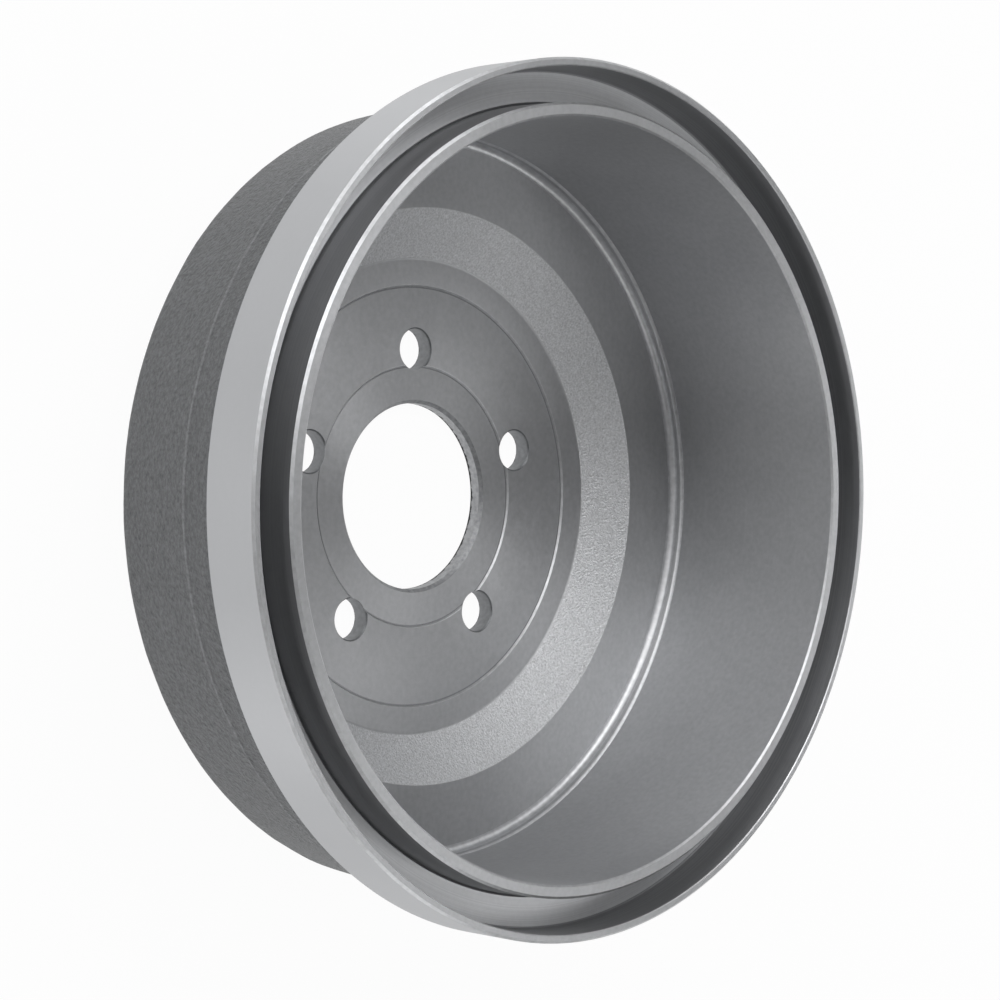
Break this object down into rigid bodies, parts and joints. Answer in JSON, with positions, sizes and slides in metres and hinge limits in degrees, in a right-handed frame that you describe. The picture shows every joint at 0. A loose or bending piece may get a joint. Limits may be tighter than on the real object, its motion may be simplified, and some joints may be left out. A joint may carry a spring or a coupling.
{
  "type": "brake drum",
  "caption": "Cast iron brake drum: open cylinder with a turned friction track, grooved rim that covers a backing plate, dished web, pilot bore and wheel-stud holes.",
  "frame": {"origin": "on the drum's axis, in the wheel-mounting face on which the drum rests", "axes": "+Z along the axis towards the open side, where the brake shoes go in; the stud holes start 36 degrees anticlockwise from +X"},
  "size_m": [0.3216, 0.3216, 0.1015],
  "materials": {
    "grey_iron": "as-cast outside, turned satin where it works"
  },
  "bodies": {
    "root": {"brake_drum": "grey_iron"}
  },
  "joints": []
}
